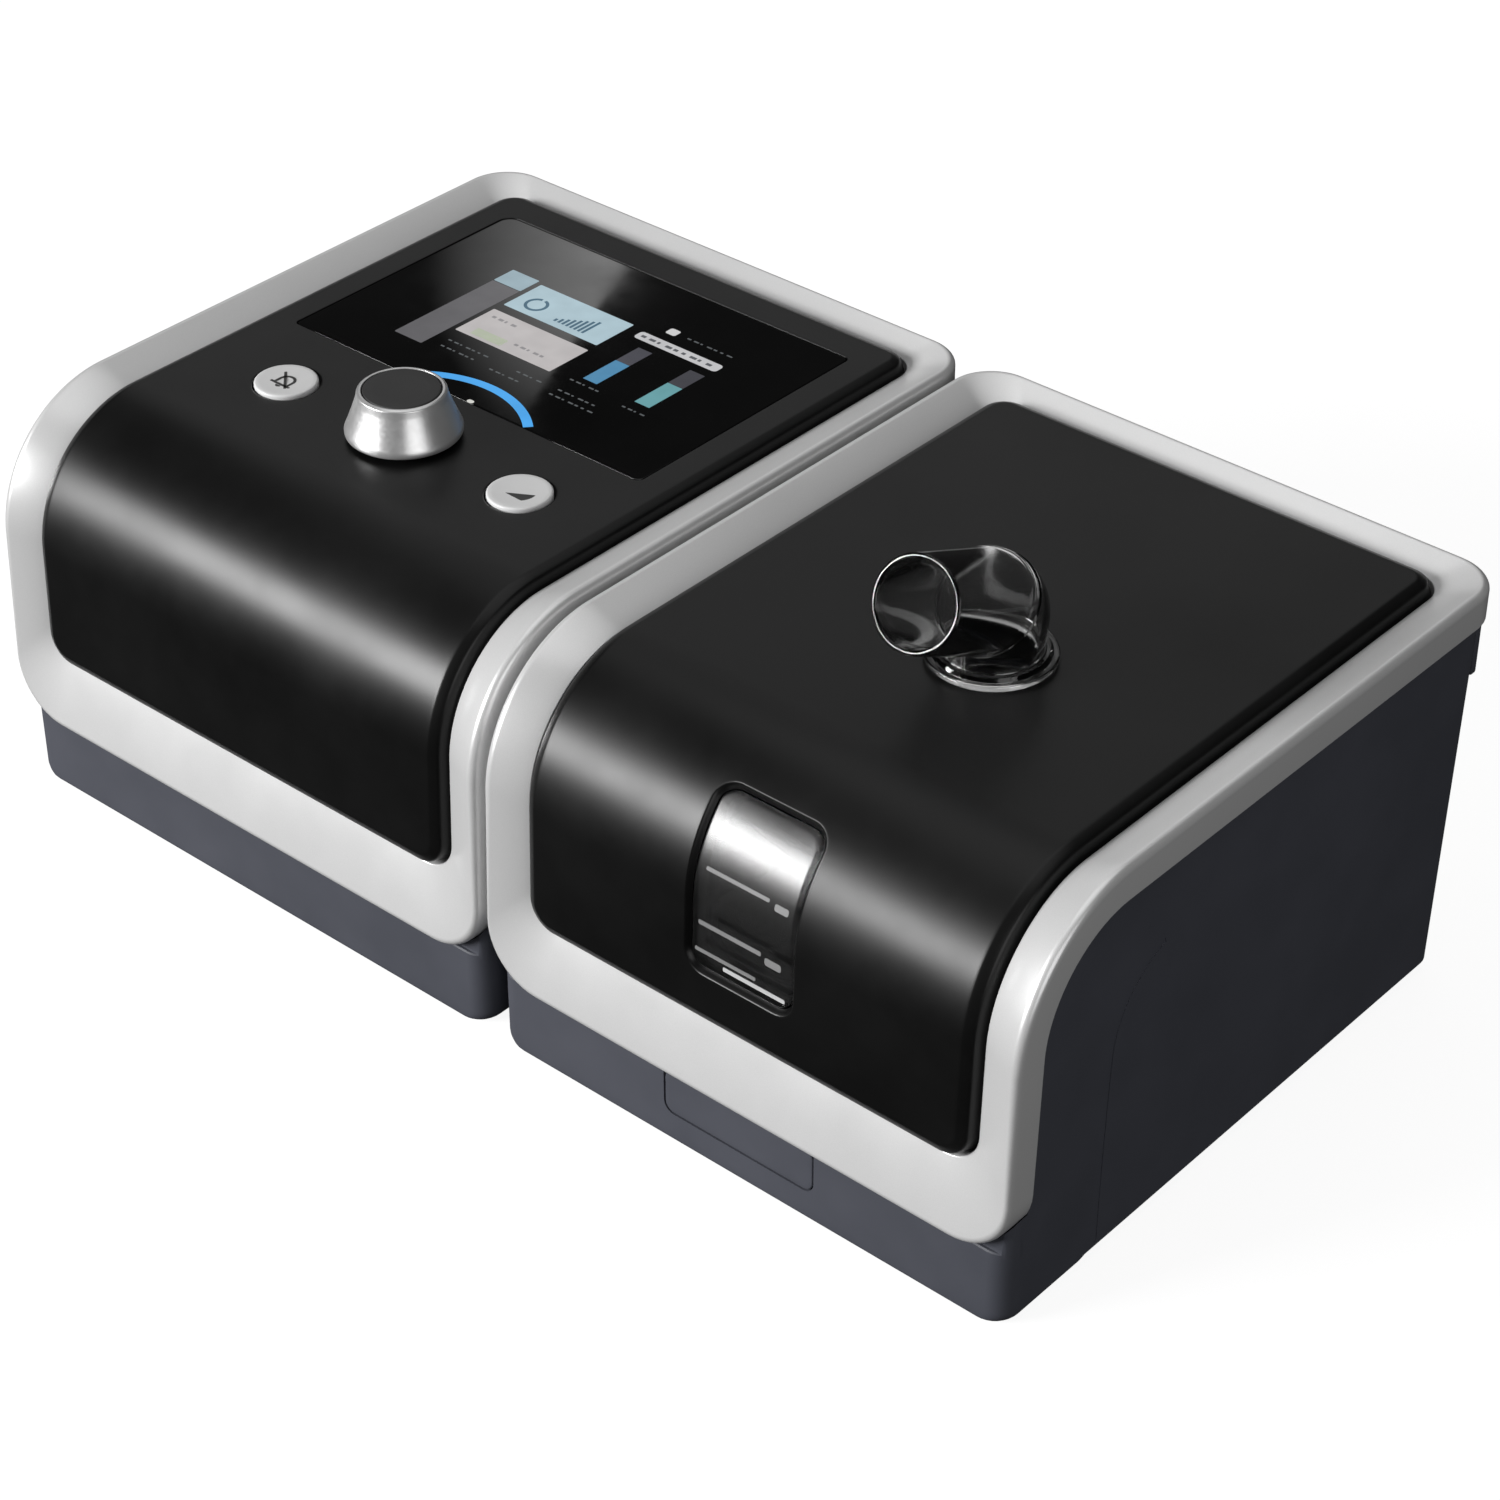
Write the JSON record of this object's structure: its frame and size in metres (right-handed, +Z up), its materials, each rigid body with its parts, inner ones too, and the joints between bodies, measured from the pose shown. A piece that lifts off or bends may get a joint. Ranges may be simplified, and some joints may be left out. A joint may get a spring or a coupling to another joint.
{
  "type": "mechanical ventilator",
  "caption": "Bedside ventilator with a docked heated humidifier: control knob, buttons and screen on one unit, hinged lid, level window and clear swivel elbow on the other.",
  "frame": {"origin": "on the table top, under the middle of the object's bounding box", "axes": "+X to the user's right, towards the humidifier; +Y towards the back; +Z up"},
  "size_m": [0.29, 0.1659, 0.1323],
  "materials": {
    "silver_frame": "satin silver metallic paint",
    "black_cover": "satin black with soft highlights",
    "slate_casing": "fine matt texture, slate grey",
    "screen_glass": "polished black glass",
    "display": "lit display panel",
    "blue_light": "lit light guide",
    "button_grey": "satin light grey",
    "clear_plastic": "polished clear polycarbonate",
    "rubber": "matt",
    "steel": "satin",
    "aluminium_plate": "brushed",
    "copper_winding": "enamelled copper wire",
    "circuit_board": "solder mask",
    "white_plastic": "satin",
    "filter_foam": "open-cell foam"
  },
  "bodies": {
    "main_unit": {"main_base": "slate_casing", "main_bottom_plate": "slate_casing", "main_foot_1": "rubber", "main_foot_2": "rubber", "main_foot_3": "rubber", "main_foot_4": "rubber", "main_screw_1": "steel", "main_screw_2": "steel", "main_frame": "silver_frame", "main_cover": "black_cover", "screen_glass": "screen_glass", "display_module": "display", "light_guide": "blue_light", "control_board": "circuit_board", "encoder_body": "steel", "mute_switch": "rubber", "ramp_switch": "rubber", "blower_isolator": "rubber", "blower_housing": "white_plastic", "blower_lid": "white_plastic", "blower_stator": "copper_winding", "outlet_duct": "black_cover", "muffler_foam": "filter_foam", "inlet_filter": "filter_foam", "power_inlet": "black_cover", "sd_socket": "steel", "dock_plug": "black_cover"},
    "encoder_plunger": {"encoder_plunger": "white_plastic"},
    "knob": {"encoder_shaft": "steel", "knob_body": "silver_frame", "knob_cap": "black_cover"},
    "mute_button": {"mute_button": "button_grey"},
    "ramp_button": {"ramp_button": "button_grey"},
    "impeller": {"impeller": "white_plastic"},
    "filter_door": {"filter_cover": "slate_casing"},
    "memory_card": {"sd_card": "black_cover"},
    "humidifier": {"humidifier_base": "slate_casing", "humidifier_bottom_plate": "slate_casing", "humidifier_foot_1": "rubber", "humidifier_foot_2": "rubber", "humidifier_foot_3": "rubber", "humidifier_foot_4": "rubber", "humidifier_screw_1": "steel", "dock_socket": "black_cover", "heater_insulator": "white_plastic", "heater_plate": "aluminium_plate", "tab_spring": "steel", "chamber_plate": "aluminium_plate", "water_chamber": "clear_plastic", "inlet_riser": "black_cover", "inlet_gasket": "rubber", "hinge_pin_left": "steel", "hinge_pin_right": "steel"},
    "lid": {"lid_frame": "silver_frame", "lid_cover": "black_cover", "level_window": "clear_plastic", "lid_liner": "slate_casing", "outlet_gasket": "rubber"},
    "elbow": {"elbow": "clear_plastic"},
    "release_tab": {"release_tab": "slate_casing"}
  },
  "joints": [
    {"name": "knob_press", "type": "slide", "parent": "main_unit", "child": "encoder_plunger", "axis": [0, 0, -1], "range_m": [0, 0.0005], "stiffness_N_per_m": 4000},
    {"name": "knob_turn", "type": "hinge", "parent": "encoder_plunger", "child": "knob", "pos_m": [-0.0691, -0.0266, 0.1], "axis": [0, 0, -1], "continuous": true},
    {"name": "mute_press", "type": "slide", "parent": "main_unit", "child": "mute_button", "axis": [0, 0, -1], "range_m": [0, 0.0009], "stiffness_N_per_m": 1500},
    {"name": "ramp_press", "type": "slide", "parent": "main_unit", "child": "ramp_button", "axis": [0, 0, -1], "range_m": [0, 0.0009], "stiffness_N_per_m": 1500},
    {"name": "impeller_spin", "type": "hinge", "parent": "main_unit", "child": "impeller", "pos_m": [-0.096, 0.01, 0.025], "axis": [0, 0, 1], "continuous": true},
    {"name": "filter_cover_pull", "type": "slide", "parent": "main_unit", "child": "filter_door", "axis": [0, 1, 0], "range_m": [0, 0.012]},
    {"name": "memory_card_pull", "type": "slide", "parent": "main_unit", "child": "memory_card", "axis": [-1, 0, 0], "range_m": [0, 0.028]},
    {"name": "humidifier_undock", "type": "slide", "parent": "main_unit", "child": "humidifier", "axis": [1, 0, 0], "range_m": [0, 0.04]},
    {"name": "lid_hinge", "type": "hinge", "parent": "humidifier", "child": "lid", "pos_m": [0.0758, 0.0768, 0.0705], "axis": [-1, 0, 0], "range_deg": [0, 75]},
    {"name": "elbow_swivel", "type": "hinge", "parent": "lid", "child": "elbow", "pos_m": [0.0819, -0.0107, 0.097], "axis": [0, 0, 1], "continuous": true},
    {"name": "release_tab_press", "type": "slide", "parent": "humidifier", "child": "release_tab", "axis": [0, 1, 0], "range_m": [0, 0.002], "stiffness_N_per_m": 1500}
  ]
}
